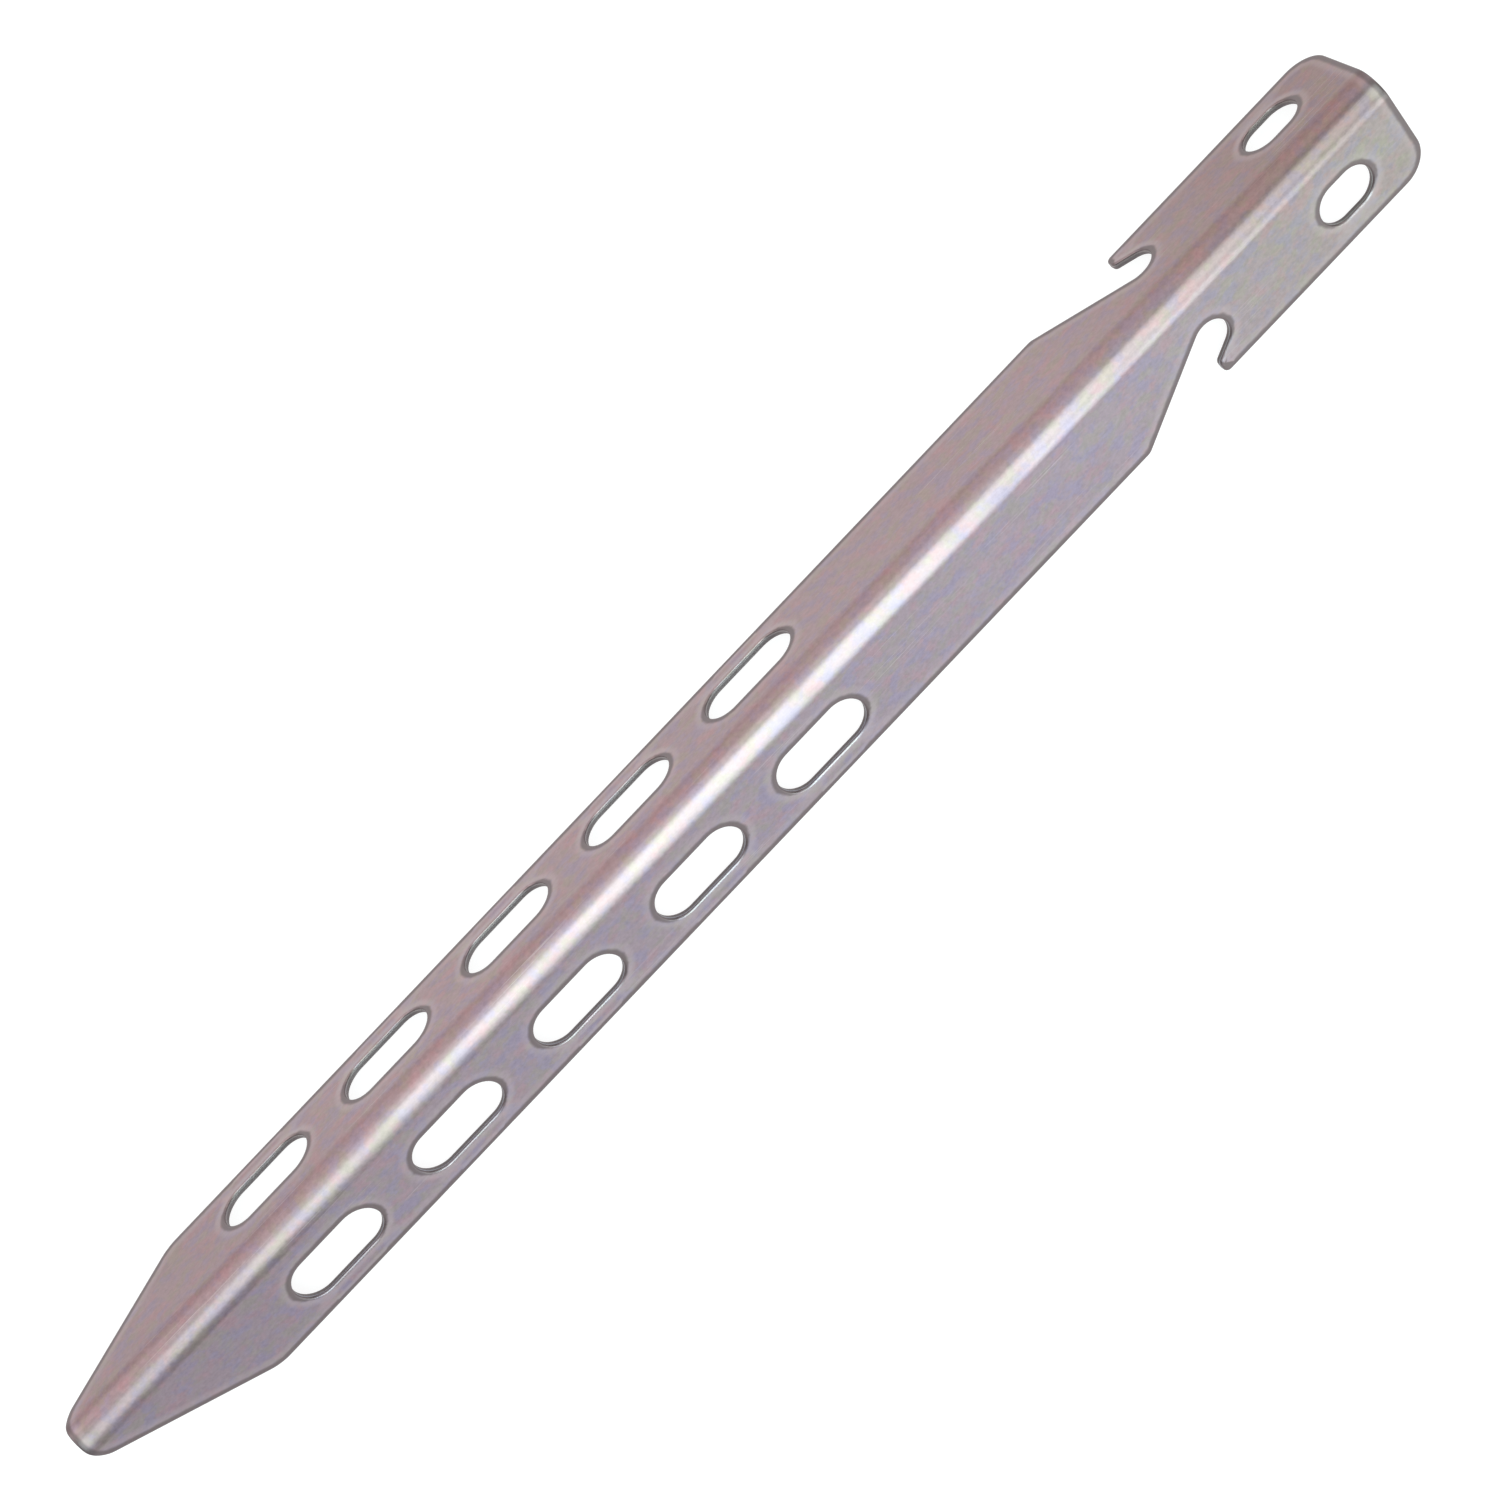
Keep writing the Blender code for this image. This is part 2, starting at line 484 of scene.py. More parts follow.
    def punch_scoring(self) -> bpy.types.NodeTree:
        """Lines that a punch drags down a cut wall, and the torn metal that ends them."""
        group = EffectGroup("punch_scoring")
        tree, place = group.tree, group.place
        split = tree.nodes.new("ShaderNodeSeparateXYZ")
        tree.links.new(place, split.inputs["Vector"])
        depth = calc(tree, "MULTIPLY", split.outputs["Z"], -1.0)
        scores = patches(tree, place, Vector((0.09, 0.09, 1.6)) * MM, 2.0, 0.6, 61.0)
        tears = patches(tree, place, Vector((0.13, 0.13, 0.1)) * MM, 3.0, 0.65, 67.0)
        wandering = calc(tree, "ADD", depth, swing(tree, tears, self.torn_wander))
        torn = spread(tree, wandering, self.torn_from, self.torn_to)
        kept = calc(tree, "SUBTRACT", 1.0, torn)
        height = calc(tree, "ADD", calc(tree, "MULTIPLY", scores, kept),
                      calc(tree, "MULTIPLY", tears, torn))
        group.gives("Height", SocketKind.NUMBER, height)
        group.gives("Torn", SocketKind.NUMBER, torn)
        return tree

    def edge_tone(self) -> bpy.types.NodeTree:
        """Painted shade as a dark line along each cut edge, and a painted highlight as a
        brighter band beside it.

        A cut edge that faces the fold gets no painted shade line, and a stronger painted
        highlight band right up to the cut.
        """
        group = EffectGroup("edge_tone")
        tree, place = group.tree, group.place
        distance, lie, line_amount, band_amount = group.takes(
            SocketKind.NUMBER, "Distance", "Lie", "Line amount", "Band amount")
        colour, dark, bright = group.takes(SocketKind.COLOUR, "Colour", "Line colour",
                                           "Band colour")
        uneven = patches(tree, place, Vector((0.9, 0.9, 0.9)) * MM, 2.0, 0.5, 17.0)
        lapped = calc(tree, "ADD", distance, calc(tree, "MULTIPLY", lie, self.inner_lap))
        shifted = calc(tree, "ADD", lapped, swing(tree, uneven, self.line_wander))
        line = spread(tree, shifted, self.line_start, self.line_end, 1.0, 0.0)
        band_in = spread(tree, shifted, self.line_start, self.line_end)
        band_out = spread(tree, shifted, self.band_start, self.band_end, 1.0, 0.0)
        gain = calc(tree, "MULTIPLY_ADD", lie, self.inner_gain, 1.0)
        strength = calc(tree, "MULTIPLY", band_amount, gain)
        band = calc(tree, "MULTIPLY", calc(tree, "MULTIPLY", band_in, band_out), strength)
        line_mask = calc(tree, "MULTIPLY", line, line_amount)
        banded = blend_colours(tree, band, colour, bright)
        group.gives("Colour", SocketKind.COLOUR, blend_colours(tree, line_mask, banded, dark))
        group.gives("Mask", SocketKind.NUMBER, line_mask)
        return tree

    def handling_marks(self) -> bpy.types.NodeTree:
        """Sparse hair-fine scratches along the sheet, and dull rub marks."""
        group = EffectGroup("handling_marks")
        tree, place = group.tree, group.place
        hair = patches(tree, place, Vector((14.0, 0.07, 0.07)) * MM, 1.0, 0.5, 29.0)
        where = patches(tree, place, Vector((22.0, 5.0, 5.0)) * MM, 1.0, 0.5, 31.0)
        rubs = patches(tree, place, Vector((11.0, 4.0, 4.0)) * MM, 4.0, 0.6, 37.0)
        lines = calc(tree, "MULTIPLY", spread(tree, hair, *self.scratch_cover),
                     spread(tree, where, *self.scratched_area))
        group.gives("Scratches", SocketKind.NUMBER, lines)
        group.gives("Rubs", SocketKind.NUMBER, spread(tree, rubs, *self.rub_cover))
        return tree


@dataclass(frozen=True)
class TitaniumFinish:
    """One finish of the stake's titanium sheet."""

    name: str
    metal: Colour
    warm: Colour
    olive: Colour
    violet: Colour
    # line and band colour the painted edge shade and the painted edge highlight
    line: Colour
    band: Colour
    cloud_amount: float
    line_amount: float
    band_amount: float
    roughness: float
    roughness_swing: float
    streaks: float
    pits: float
    relief: float
    # Painted light and shade tints: right flange cool, right head lighter, left head and tip darker
    right_flange: Colour = (0.945, 1.06, 1.17, 1.0)
    right_head: Colour = (1.04, 1.1, 0.93, 1.0)
    left_head: Colour = (0.82, 0.78, 0.73, 1.0)
    tip: Colour = (0.9, 0.89, 0.9, 1.0)
    scoring: float = 0.0
    torn: Colour = (0.25, 0.217, 0.221, 1.0)
    torn_dullness: float = 0.12
    grain_tone: float = 0.24
    scratch: Colour = (0.62, 0.58, 0.58, 1.0)
    scratch_amount: float = 0.35
    rub_dullness: float = 0.06
    line_dullness: float = 0.04
    wave_size: tuple[float, float, float] = (9.0 * MM, 4.5 * MM, 4.5 * MM)
    wave_relief: float = 0.02 * MM

    def make(self, effects: SharedEffects) -> bpy.types.Material:
        """Build the finish as a material.

        Args:
            effects: The shared node groups.

        Returns:
            The new material.
        """
        material = bpy.data.materials.new(self.name)
        material.use_nodes = True
        tree = material.node_tree
        shader = tree.nodes["Principled BSDF"]
        shader.inputs["Metallic"].default_value = 1.0
        place = self.read_note(tree, "sheet_place").outputs["Vector"]

        grain = self.use_group(tree, effects, "rolled_grain", {
            "Place": place, "Streaks": self.streaks, "Pits": self.pits})
        tint = self.use_group(tree, effects, "oxide_tint", {
            "Place": place, "Metal": self.metal, "Warm cloud": self.warm,
            "Olive cloud": self.olive, "Violet cloud": self.violet,
            "Amount": self.cloud_amount})
        marks = self.use_group(tree, effects, "handling_marks", {"Place": place})
        # Painted light and shade over the flanges and the two ends
        drift = self.use_group(tree, effects, "oxide_drift", {
            "Place": place, "Colour": tint.outputs["Colour"],
            "Right flange": self.right_flange, "Right head": self.right_head,
            "Left head": self.left_head, "Tip": self.tip})
        streaked = blend_colours(tree, self.grain_tone, drift.outputs["Colour"],
                                 grain.outputs["Tone"], "OVERLAY")
        scratches = calc(tree, "MULTIPLY", marks.outputs["Scratches"], self.scratch_amount)
        # Painted shade lines along the cut edges, and painted highlight bands beside them
        tone = self.use_group(tree, effects, "edge_tone", {
            "Place": place, "Distance": self.read_note(tree, "edge_distance").outputs["Fac"],
            "Lie": self.read_note(tree, "edge_lie").outputs["Fac"],
            "Colour": blend_colours(tree, scratches, streaked, self.scratch),
            "Line colour": self.line, "Line amount": self.line_amount,
            "Band colour": self.band, "Band amount": self.band_amount})
        colour = tone.outputs["Colour"]

        uneven = swing(tree, grain.outputs["Tone"], self.roughness_swing)
        rubbed = calc(tree, "MULTIPLY", marks.outputs["Rubs"], self.rub_dullness)
        lined = calc(tree, "MULTIPLY", tone.outputs["Mask"], self.line_dullness)
        roughness = calc(tree, "ADD", calc(tree, "ADD", uneven, rubbed),
                         calc(tree, "ADD", lined, self.roughness))

        height = grain.outputs["Height"]
        if self.scoring > 0.0:
            scoring = self.use_group(tree, effects, "punch_scoring", {"Place": place})
            torn = scoring.outputs["Torn"]
            scored = calc(tree, "MULTIPLY", scoring.outputs["Height"], self.scoring)
            height = calc(tree, "ADD", height, scored)
            dull = calc(tree, "MULTIPLY", torn, self.torn_dullness)
            roughness = calc(tree, "ADD", roughness, dull)
            colour = blend_colours(tree, torn, colour, self.torn)
        tree.links.new(colour, shader.inputs["Base Color"])
        tree.links.new(roughness, shader.inputs["Roughness"])

        wave = patches(tree, place, Vector(self.wave_size), 1.0, 0.4, 53.0)
        wave_bump = self.bump(tree, wave, self.wave_relief)
        grain_bump = self.bump(tree, height, self.relief)
        tree.links.new(wave_bump.outputs["Normal"], grain_bump.inputs["Normal"])
        tree.links.new(grain_bump.outputs["Normal"], shader.inputs["Normal"])
        return material

    @staticmethod
    def read_note(tree: bpy.types.NodeTree, name: str) -> bpy.types.Node:
        """Read one of the notes that the sheet's points keep."""
        node = tree.nodes.new("ShaderNodeAttribute")
        node.attribute_name = name
        return node

    @staticmethod
    def use_group(tree: bpy.types.NodeTree, effects: SharedEffects, name: str,
                  settings: dict[str, Feed]) -> bpy.types.Node:
        """Place one shared group in a material with this material's own values."""
        node = tree.nodes.new("ShaderNodeGroup")
        node.node_tree = effects.groups[name]
        for socket, value in settings.items():
            feed(tree, node.inputs[socket], value)
        return node

    @staticmethod
    def bump(tree: bpy.types.NodeTree, height: bpy.types.NodeSocket,
             relief: float) -> bpy.types.Node:
        """Bump node whose height spans a real depth in metres."""
        node = tree.nodes.new("ShaderNodeBump")
        node.inputs["Strength"].default_value = 1.0
        node.inputs["Distance"].default_value = relief
        tree.links.new(height, node.inputs["Height"])
        return node


OUTER_FACE = TitaniumFinish(
    name="titanium_outer_face",
    metal=(0.326, 0.236, 0.246, 1.0),
    warm=(0.368, 0.226, 0.236, 1.0),
    olive=(0.308, 0.249, 0.218, 1.0),
    violet=(0.288, 0.225, 0.284, 1.0),
    line=(0.16, 0.13, 0.133, 1.0),
    band=(0.46, 0.4, 0.41, 1.0),
    cloud_amount=0.75,
    line_amount=0.9,
    band_amount=0.22,
    roughness=0.32,
    roughness_swing=0.10,
    streaks=0.25,
    pits=0.8,
    relief=0.003 * MM,
)

INNER_FACE = TitaniumFinish(
    name="titanium_inner_face",
    metal=(0.31, 0.26, 0.27, 1.0),
    warm=(0.34, 0.26, 0.26, 1.0),
    olive=(0.305, 0.27, 0.25, 1.0),
    violet=(0.285, 0.25, 0.30, 1.0),
    line=(0.16, 0.13, 0.13, 1.0),
    band=(0.42, 0.38, 0.39, 1.0),
    cloud_amount=0.6,
    line_amount=0.8,
    band_amount=0.2,
    roughness=0.42,
    roughness_swing=0.12,
    streaks=0.7,
    pits=0.5,
    relief=0.005 * MM,
)

PUNCHED_WALL = TitaniumFinish(
    name="titanium_punched_wall",
    metal=(0.42, 0.38, 0.385, 1.0),
    warm=(0.43, 0.37, 0.375, 1.0),
    olive=(0.4, 0.37, 0.35, 1.0),
    violet=(0.39, 0.355, 0.395, 1.0),
    line=(0.22, 0.195, 0.2, 1.0),
    band=(0.42, 0.38, 0.385, 1.0),
    cloud_amount=0.4,
    line_amount=0.2,
    band_amount=0.0,
    roughness=0.54,
    roughness_swing=0.08,
    streaks=0.0,
    pits=0.2,
    relief=0.003 * MM,
    scoring=0.5,
)


# ---- The stake ----


class SheetSide(Enum):
    """The two halves of the sheet, one on each side of the fold."""

    LEFT = 1.0
    RIGHT = -1.0


@dataclass
class LongHole:
    """A punched hole with straight sides and full round ends, lying along the stake."""

    length: float
    width: float
    round_steps: int = 12

    def cutter(self, name: str, along: float, across: float,
               reach: float) -> bpy.types.Object:
        """Make the punch that cuts this hole out of the flat sheet.

        Args:
            name: Name of the punch.
            along: The hole's middle along the stake.
            across: The hole's middle across the sheet.
            reach: How far the punch stands above and below the sheet's outer face.

        Returns:
            The punch, a closed solid.
        """
        punch = add_block(name, Vector((along, across, 0.0)),
                          Vector((self.length, self.width, 2.0 * reach)))
        open_mesh(punch)
        round_ends(punch, 0.5 * self.width, self.round_steps, along - self.length)
        close_mesh()
        return punch


@dataclass
class HookNotch:
    """The slanting notch in a flange's edge, with a blunt barb over it that holds a line."""

    end_from_head: float = 25.35 * MM
    depth: float = 4.3 * MM
    width: float = 3.9 * MM
    slant: float = math.radians(31.7)
    mouth_radius: float = 1.0 * MM
    barb_from_head: float = 26.2 * MM
    barb_radius: float = 0.6 * MM
    round_steps: int = 14
    bar_length: float = 20.0 * MM
    trim_length: float = 5.0 * MM
    trim_lap: float = 0.3 * MM

    def cutters(self, head: float, half_blank: float, side: SheetSide,
                reach: float) -> list[bpy.types.Object]:
        """Make the two punches that cut one notch.

        Args:
            head: Where the stake's head end is along X.
            half_blank: Half the width of the flat sheet.
            side: Which half of the sheet the notch is in.
            reach: How far a punch stands above and below the sheet's outer face.

        Returns:
            The slanting bar and the block that blunts the barb.
        """
        centre = Vector((head - self.end_from_head, half_blank - self.depth, 0.0))
        bar_size = Vector((self.bar_length, self.width, 2.0 * reach))
        bar = add_block("notch_bar", centre + Vector((0.5 * self.width - 0.5 * self.bar_length,
                                                      0.0, 0.0)), bar_size)
        open_mesh(bar)
        round_ends(bar, 0.5 * self.width, self.round_steps, centre.x)
        bpy.ops.transform.rotate(value=self.slant, orient_axis="Z", orient_type="GLOBAL",
                                 center_override=centre)
        close_mesh()
        barb = self.barb_corner(head, half_blank)
        low = barb.y - self.trim_lap
        high = half_blank + 2.0 * self.trim_lap
        trim = add_block("barb_trim", Vector((barb.x - 0.5 * self.trim_length,
                                              0.5 * (low + high), 0.0)),
                         Vector((self.trim_length, high - low, 2.0 * reach)))
        made = [bar, trim]
        if side is SheetSide.RIGHT:
            for punch in made:
                open_mesh(punch)
                bpy.ops.mesh.select_all(action="SELECT")
                bpy.ops.transform.mirror(orient_type="GLOBAL",
                                         constraint_axis=(False, True, False),
                                         center_override=(0.0, 0.0, 0.0))
                bpy.ops.mesh.normals_make_consistent(inside=False)
                close_mesh()
        return made

    def mouth_corner(self, head: float, half_blank: float) -> Vector:
        """Where the ramp side of the notch meets the sheet's edge."""
        ramp_x = head - self.end_from_head - 0.5 * self.width * math.sin(self.slant)
        ramp_y = half_blank - self.depth - 0.5 * self.width * math.cos(self.slant)
        run = (half_blank - ramp_y) / math.tan(self.slant)
        return Vector((ramp_x - run, half_blank, 0.0))

    def barb_corner(self, head: float, half_blank: float) -> Vector:
        """Where the barb's blunt end meets the slanting side of the notch."""
        side_x = head - self.end_from_head + 0.5 * self.width * math.sin(self.slant)
        side_y = half_blank - self.depth + 0.5 * self.width * math.cos(self.slant)
        barb_x = head - self.barb_from_head
        return Vector((barb_x, side_y + (side_x - barb_x) * math.tan(self.slant), 0.0))


@dataclass
class StakeSheet:
    """The stake itself: one titanium sheet, punched flat and folded lengthwise."""

    thickness: float = 0.7 * MM
    flange_width: float = 12.3 * MM
    fold_angle: float = math.radians(75.0)
    fold_radius: float = 2.4 * MM
    fold_steps: int = 24

    nose_half_width: float = 3.85 * MM
    nose_radius: float = 2.8 * MM
    taper_length: float = 16.1 * MM
    shoulder_radius: float = 4.0 * MM
    head_radius: float = 3.0 * MM

    slot: LongHole = field(default_factory=lambda: LongHole(10.4 * MM, 4.9 * MM))
    slot_count: int = 5
    first_slot: float = 27.5 * MM
    slot_pitch: float = 15.6 * MM
    line_hole: LongHole = field(default_factory=lambda: LongHole(6.1 * MM, 4.3 * MM))
    line_hole_from_head: float = 8.1 * MM
    notch: HookNotch = field(default_factory=HookNotch)

    outer_rim: float = 0.18 * MM
    inner_rim: float = 0.12 * MM
    rim_steps: int = 4
    rim_band: float = 0.2 * MM
    grid_pitch: float = 0.9 * MM
    punch_reach: float = 3.0 * MM

    low: Vector = field(default_factory=Vector)
    high: Vector = field(default_factory=Vector)

    @property
    def half_turn(self) -> float:
        """Angle that each flange turns down through, from flat."""
        return 0.5 * (math.pi - self.fold_angle)

    @property
    def fold_tangent(self) -> float:
        """From the sharp corner of the outer faces to where the fold's curve ends."""
        return self.fold_radius * math.tan(self.half_turn)

    @property
    def neutral_radius(self) -> float:
        """Radius of the layer of the sheet that the fold neither stretches nor shrinks."""
        return self.fold_radius - 0.5 * self.thickness

    @property
    def half_arc(self) -> float:
        """Width of flat sheet that goes into half of the fold."""
        return self.neutral_radius * self.half_turn

    @property
    def half_blank(self) -> float:
        """Half the width of the flat sheet."""
        return self.half_arc + self.flange_width - self.fold_tangent

    @property
    def hole_line(self) -> float:
        """Where the middles of the slots lie across the flat sheet."""
        return self.half_arc + 0.5 * (self.flange_width - self.fold_tangent)

    @property
    def ridge_drop(self) -> float:
        """Height of the fold's centre over the edges that the stake lies on."""
        flat = self.flange_width - self.fold_tangent
        return (flat * math.sin(self.half_turn)
                - (self.fold_radius - self.thickness) * math.cos(self.half_turn))

    def hole_places(self) -> list[float]:
        """Where the slots and the line hole are along the stake."""
        places = [self.low.x + self.first_slot + number * self.slot_pitch
                  for number in range(self.slot_count)]
        places.append(self.high.x - self.line_hole_from_head)
        return places

    def build(self, finishes: list[bpy.types.Material]) -> bpy.types.Object:
        """Make the folded sheet and dress it.

        Args:
            finishes: Materials of the outer face, the inner face and the punched walls.

        Returns:
            The finished piece.
        """
        sheet = self.cut_blank()
        self.punch(sheet)
        self.round_notch_corners(sheet)
        self.round_rims(sheet)
        self.note_places(sheet)
        self.fold(sheet)
        self.dress(sheet, finishes)
        self.smooth(sheet)
        return sheet

    def cut_blank(self) -> bpy.types.Object:
        """Shear the flat blank: its outline without notches, and its rounded corners."""
        length = self.high.x - self.low.x
        middle = 0.5 * (self.high.x + self.low.x)
        sheet = add_block("stake_sheet", Vector((middle, 0.0, -0.5 * self.thickness)),
                          Vector((length, 2.0 * self.half_blank, self.thickness)))
        open_mesh(sheet)
        for place in self.hole_places():
            slice_mesh(Vector((place, 0.0, 0.0)), Vector((1.0, 0.0, 0.0)))
        nose = self.nose_half_width - self.fold_tangent + self.half_arc
        rise = self.half_blank - nose
        slope = math.hypot(self.taper_length, rise)
        for side in SheetSide:
            outward = Vector((-rise, side.value * self.taper_length, 0.0)) / slope
            slice_mesh(Vector((self.low.x, side.value * nose, 0.0)), outward, cut_away=True)
        taper = math.atan2(rise, self.taper_length)
        nose_turn = 0.5 * math.pi - taper
        self.round_corner(sheet, Vector((self.low.x, nose, 0.0)), self.nose_radius, nose_turn)
        self.round_corner(sheet, Vector((self.low.x + self.taper_length, self.half_blank, 0.0)),
                          self.shoulder_radius, taper)
        self.round_corner(sheet, Vector((self.high.x, self.half_blank, 0.0)), self.head_radius,
                          0.5 * math.pi)
        close_mesh()
        return sheet

    @staticmethod
    def round_corner(sheet: bpy.types.Object, corner: Vector, radius: float,
                     turn: float) -> None:
        """Round one corner of the open flat blank, and its twin across the fold.

        Args:
            sheet: The flat blank, open in edit mode.
            corner: The corner in the left half.
            radius: Radius of the rounding.
            turn: Angle that the outline turns through there.
        """
        def at_corner(edge: bmesh.types.BMEdge) -> bool:
            """Whether an edge is the upright one at this corner or its twin."""
            first, last = (vert.co for vert in edge.verts)
            return (abs(first.x - corner.x) < CORNER_REACH
                    and abs(abs(first.y) - corner.y) < CORNER_REACH
                    and (first.xy - last.xy).length < SAME_PLACE)

        found = pick(sheet, Element.EDGE, at_corner)
        if found != len(SheetSide):
            raise ValueError(f"expected 2 upright edges at {corner}, found {found}")
        setback = radius * math.tan(0.5 * turn)
        bevel_picked(setback, max(4, round(math.degrees(turn) / 6.0)))

    def punch(self, sheet: bpy.types.Object) -> None:
        """Punch the slots, the line holes and the hook notches out of the flat blank."""
        punches = []
        first = self.slot.cutter("slot_punch", 0.0, 0.0, self.punch_reach)
        hole = self.line_hole.cutter("line_hole_punch", 0.0, 0.0, self.punch_reach)
        places = self.hole_places()
        for side in SheetSide:
            for place in places:
                master = hole if place is places[-1] else first
                punch = master.copy()
                punch.data = master.data.copy()
                bpy.context.scene.collection.objects.link(punch)
                punch.location = (place, side.value * self.hole_line, 0.0)
                punches.append(punch)
        for master in (first, hole):
            bpy.data.objects.remove(master, do_unlink=True)
        take_out(sheet, join_up(punches))
        for side in SheetSide:
            for cutter in self.notch.cutters(self.high.x, self.half_blank, side,
                                             self.punch_reach):
                take_out(sheet, cutter)

    def round_notch_corners(self, sheet: bpy.types.Object) -> None:
        """Take the sharpness off the notch's mouth and the barb's two corners."""
        notch = self.notch
        open_mesh(sheet)
        bpy.ops.mesh.select_all(action="SELECT")
        bpy.ops.mesh.remove_doubles(threshold=MERGE_GAP)
        mouth = notch.mouth_corner(self.high.x, self.half_blank)
        barb = notch.barb_corner(self.high.x, self.half_blank)
        self.round_corner(sheet, mouth, notch.mouth_radius, notch.slant)
        self.round_corner(sheet, barb, notch.barb_radius, 0.5 * math.pi - notch.slant)
        self.round_corner(sheet, Vector((barb.x, self.half_blank, 0.0)), notch.barb_radius,
                          0.5 * math.pi)
        close_mesh()

    def round_rims(self, sheet: bpy.types.Object) -> None:
        """Round over every cut edge, and lay a narrow band of faces beside it on each skin."""
        open_mesh(sheet)
        for height, radius in ((0.0, self.outer_rim), (-self.thickness, self.inner_rim)):
            def on_rim(edge: bmesh.types.BMEdge, level: float = height) -> bool:
                """Whether an edge lies between this skin and a cut wall."""
                flat = all(abs(vert.co.z - level) < SAME_PLACE for vert in edge.verts)
                return flat and any(abs(face.normal.z) < WALL_NORMAL for face in edge.link_faces)

            pick(sheet, Element.EDGE, on_rim)
            bevel_picked(radius, self.rim_steps, miter_outer="SHARP")
            pick(sheet, Element.FACE, lambda face, level=height: (
                abs(face.normal.z) > SKIN_NORMAL
                and all(abs(vert.co.z - level) < SAME_PLACE for vert in face.verts)))
            bpy.ops.mesh.inset(thickness=self.rim_band, depth=0.0, use_boundary=True,
                               use_even_offset=True)
        close_mesh()

    def note_places(self, sheet: bpy.types.Object) -> None:
        """Cut the lines that the fold follows, and note where on the flat sheet each point is.

        The notes are three attributes: the place itself, the distance from the nearest cut
        wall, and how squarely that wall faces the fold. The crosswise and lengthwise lines
        keep the distance true between the rims.

        Args:
            sheet: The flat blank with its rims rounded.
        """
        open_mesh(sheet)
        lines = [self.half_arc * step / self.fold_steps
                 for step in range(-self.fold_steps, self.fold_steps + 1)]
        lanes = math.floor((self.half_blank - self.half_arc) / self.grid_pitch)
        lines += [side.value * (self.half_arc + lane * self.grid_pitch)
                  for side in SheetSide for lane in range(1, lanes + 1)]
        for across in lines:
            slice_mesh(Vector((0.0, across, 0.0)), Vector((0.0, 1.0, 0.0)))
        stations = math.floor((self.high.x - self.low.x) / self.grid_pitch)
        for station in range(1, stations):
            along = self.low.x + (station + 0.5) * self.grid_pitch
            slice_mesh(Vector((along, 0.0, 0.0)), Vector((1.0, 0.0, 0.0)))
        close_mesh()
        mesh = sheet.data
        walls = [tuple(face.vertices) for face in mesh.polygons if abs(face.normal.z) < WALL_NORMAL]
        finder = BVHTree.FromPolygons([vert.co for vert in mesh.vertices], walls)
        kinds = {"sheet_place": "FLOAT_VECTOR", "edge_distance": "FLOAT", "edge_lie": "FLOAT"}
        for name, kind in kinds.items():
            mesh.attributes.new(name, kind, "POINT")
        places, distances, lies = (mesh.attributes[name].data for name in kinds)
        middle = -0.5 * self.thickness
        for vert in mesh.vertices:
            places[vert.index].vector = vert.co
            probe = Vector((vert.co.x, vert.co.y, middle))
            _, outward, _, distance = finder.find_nearest(probe)
            distances[vert.index].value = distance
            lies[vert.index].value = max(0.0, -outward.y * math.copysign(1.0, vert.co.y))

    def fold(self, sheet: bpy.types.Object) -> None:
        """Turn each row of points down over the bending tool's nose, then set the stake down."""
        rows: dict[int, set[int]] = {}
        for vert in sheet.data.vertices:
            step = vert.co.y / self.half_arc * self.fold_steps
            row = max(-self.fold_steps, min(self.fold_steps, round(step)))
            rows.setdefault(row, set()).add(vert.index)
        open_mesh(sheet)
        axis = Vector((0.0, 0.0, -self.fold_radius))
        for row, numbers in rows.items():
            share = row / self.fold_steps
            pick_verts(sheet, numbers)
            bpy.ops.transform.translate(value=(0.0, -share * self.half_arc, 0.0))
            bpy.ops.transform.rotate(value=share * self.half_turn, orient_axis="X",
                                     orient_type="GLOBAL", center_override=axis)
        bpy.ops.mesh.select_all(action="SELECT")
        lift = self.low.z + self.ridge_drop + self.fold_radius
        bpy.ops.transform.translate(value=(0.0, 0.0, lift))
        close_mesh()

    def dress(self, sheet: bpy.types.Object, finishes: list[bpy.types.Material]) -> None:
        """Give the outer face, the inner face and the punched walls their finishes."""
        mesh = sheet.data
        places = mesh.attributes["sheet_place"].data
        hair = 0.1 * SAME_PLACE
        for finish in finishes:
            mesh.materials.append(finish)
        for face in mesh.polygons:
            depths = [-places[number].vector.z for number in face.vertices]
            if max(depths) < self.outer_rim + hair:
                face.material_index = 0
            elif min(depths) > self.thickness - self.inner_rim - hair:
                face.material_index = 1
            else:
                face.material_index = 2

    @staticmethod
    def smooth(sheet: bpy.types.Object) -> None:
        """Shade the sheet smooth, with the flats kept truly flat."""
        take_up(sheet)
        bpy.ops.object.shade_smooth()
        even = sheet.modifiers.new("even_normals", "WEIGHTED_NORMAL")
        even.mode = "FACE_AREA"
        even.weight = 60
        even.keep_sharp = False
        bpy.ops.object.modifier_apply(modifier=even.name)
        clear_selection()


# ---- The studio ----


@dataclass(frozen=True)
class SoftPanel:
    """One soft light panel that faces the stake."""

    name: str
    place: tuple[float, float, float]
    size: tuple[float, float]
    colour: tuple[float, float, float]
    radiance: float
    twist: float = 0.0

    def light(self) -> None:
        """Hang the panel."""
        data = bpy.data.lights.new(self.name, "AREA")
        data.shape = "RECTANGLE"
        data.size, data.size_y = self.size
        data.color = self.colour
        data.energy = self.radiance * math.pi * self.size[0] * self.size[1]
        lamp = bpy.data.objects.new(self.name, data)
        lamp.location = self.place
        aimed = (-Vector(self.place)).to_track_quat("-Z", "Y")
        lamp.rotation_euler = (aimed @ Quaternion((0.0, 0.0, 1.0), self.twist)).to_euler()
        lamp.visible_camera = False
        bpy.context.scene.collection.objects.link(lamp)
        LOG.info("light %s", self.name)


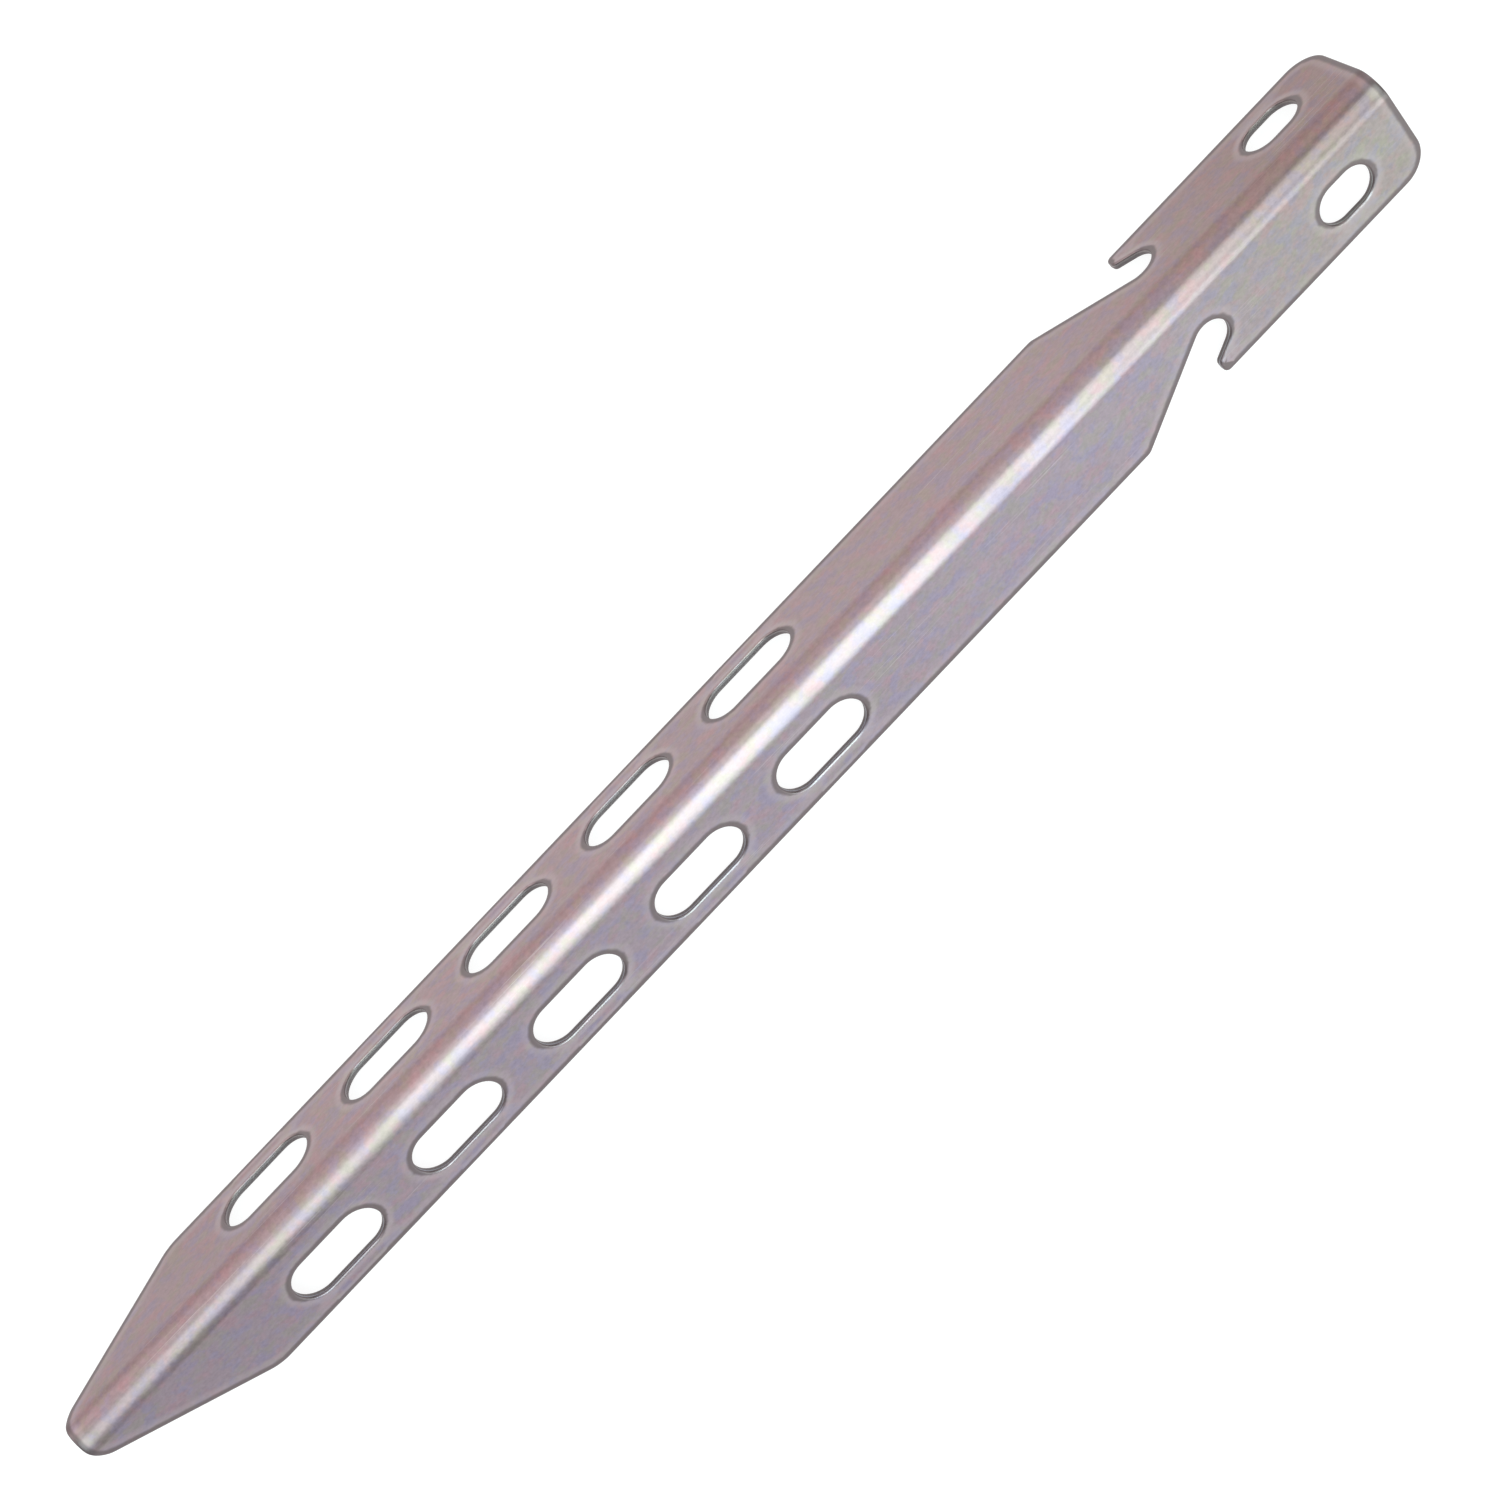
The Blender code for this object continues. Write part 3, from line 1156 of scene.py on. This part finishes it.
@dataclass
class Studio:
    """Pale glowing table, soft panels and camera."""

    table_side: float = 6.0
    table_colour: Colour = (0.2, 0.2, 0.2, 1.0)
    table_glow: float = 0.9
    sky_colour: Colour = WHITE
    sky_strength: float = 0.5
    panels: list[SoftPanel] = field(default_factory=lambda: [
        SoftPanel("overhead", (-0.02, -0.38, 0.82), (1.0, 0.72), (0.76, 1.0, 0.96), 1.8),
        SoftPanel("overhead_core", (-0.04, -0.29, 0.79), (0.3, 0.68), (0.72, 1.0, 0.98), 3.2,
                  math.radians(16.0)),
        SoftPanel("shoulder", (0.058, -0.813, 0.488), (0.26, 0.54), (0.74, 1.0, 0.99), 5.2,
                  math.radians(16.0)),
        SoftPanel("top_fill", (-0.1, 0.2, 0.87), (0.46, 0.32), (0.83, 1.0, 0.98), 1.6),
        SoftPanel("warm_top", (-0.1, 0.62, 0.78), (1.0, 0.8), (1.0, 0.94, 0.93), 0.6),
        SoftPanel("warm_side", (0.0, 1.1, 0.28), (2.2, 0.8), (1.0, 0.86, 0.84), 0.55),
        SoftPanel("low_side", (0.165, -0.974, 0.154), (0.28, 0.24), (0.82, 1.0, 1.0), 2.8),
        SoftPanel("head_side", (0.62, -1.0, 0.22), (0.5, 0.4), (0.84, 1.0, 0.93), 2.6),
        SoftPanel("tip_wash", (-0.92, 0.56, 0.72), (1.1, 0.9), (1.0, 1.0, 1.0), 1.3),
        SoftPanel("head_wash", (0.92, 0.56, 0.72), (1.1, 0.9), (1.0, 1.0, 1.0), 1.3),
    ])

    lens: float = 85.3
    sensor: float = 36.0
    distance: float = 309.4 * MM
    lean: float = math.radians(7.88)
    pitch: float = math.radians(-1.375)
    turn: float = math.radians(46.39)
    aim: tuple[float, float, float] = (2.84 * MM, -1.078 * MM, 10.035 * MM)

    def build(self) -> None:
        """Set up everything round the stake."""
        self.lay_table()
        self.fill_sky()
        for panel in self.panels:
            panel.light()
        self.place_camera()
        bpy.context.scene.view_settings.view_transform = "Standard"

    def lay_table(self) -> None:
        """Lay the pale table top that the stake lies on."""
        clear_selection()
        bpy.ops.mesh.primitive_plane_add(size=self.table_side, location=(0.0, 0.0, cad_box[0].z))
        table = bpy.context.object
        table.name = "table_top"
        finish = bpy.data.materials.new("lit_white_acrylic")
        finish.use_nodes = True
        shader = finish.node_tree.nodes["Principled BSDF"]
        shader.inputs["Base Color"].default_value = self.table_colour
        shader.inputs["Roughness"].default_value = 0.9
        shader.inputs["Specular IOR Level"].default_value = 0.0
        shader.inputs["Emission Color"].default_value = WHITE
        shader.inputs["Emission Strength"].default_value = self.table_glow
        table.data.materials.append(finish)
        LOG.info("table top")

    def fill_sky(self) -> None:
        """Fill the room with even soft light."""
        world = bpy.data.worlds.new("studio_room")
        bpy.context.scene.world = world
        world.use_nodes = True
        back = world.node_tree.nodes["Background"]
        back.inputs["Color"].default_value = self.sky_colour
        back.inputs["Strength"].default_value = self.sky_strength
        LOG.info("room light")

    def place_camera(self) -> None:
        """Set the camera over the stake, leaning to the right flange's side."""
        along = Vector((1.0, 0.0, 0.0))
        across = Vector((0.0, -math.cos(self.lean), -math.sin(self.lean)))
        down = Vector((0.0, math.sin(self.lean), -math.cos(self.lean)))
        forward = along * math.sin(self.pitch) + down * math.cos(self.pitch)
        length = along * math.cos(self.pitch) - down * math.sin(self.pitch)
        right = length * math.cos(self.turn) + across * math.sin(self.turn)
        up = length * math.sin(self.turn) - across * math.cos(self.turn)
        data = bpy.data.cameras.new("view")
        data.lens = self.lens
        data.sensor_width = self.sensor
        data.clip_start = 0.01
        camera = bpy.data.objects.new("view", data)
        place = Vector(self.aim) - forward * self.distance
        turned = Matrix((right, up, -forward)).transposed().to_4x4()
        camera.matrix_world = Matrix.Translation(place) @ turned
        bpy.context.scene.collection.objects.link(camera)
        bpy.context.scene.camera = camera
        LOG.info("camera")


def report_piece(piece: bpy.types.Object) -> None:
    """Say in the log how big a piece is and how many faces it has."""
    LOG.info("piece %s: %.2f x %.2f x %.2f mm, %d faces", piece.name,
             *(piece.dimensions / MM), len(piece.data.polygons))


def main() -> None:
    """Build the stake and the studio round it."""
    logging.basicConfig(level=logging.INFO, format="%(name)s: %(message)s")
    effects = SharedEffects()
    effects.build()
    finishes = [finish.make(effects) for finish in (OUTER_FACE, INNER_FACE, PUNCHED_WALL)]
    low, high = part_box("stake_body")
    stake = StakeSheet(low=low, high=high)
    sheet = stake.build(finishes)
    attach(sheet, "root")
    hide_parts("stake_body")
    report_piece(sheet)
    Studio().build()


if __name__ == "__main__":
    main()
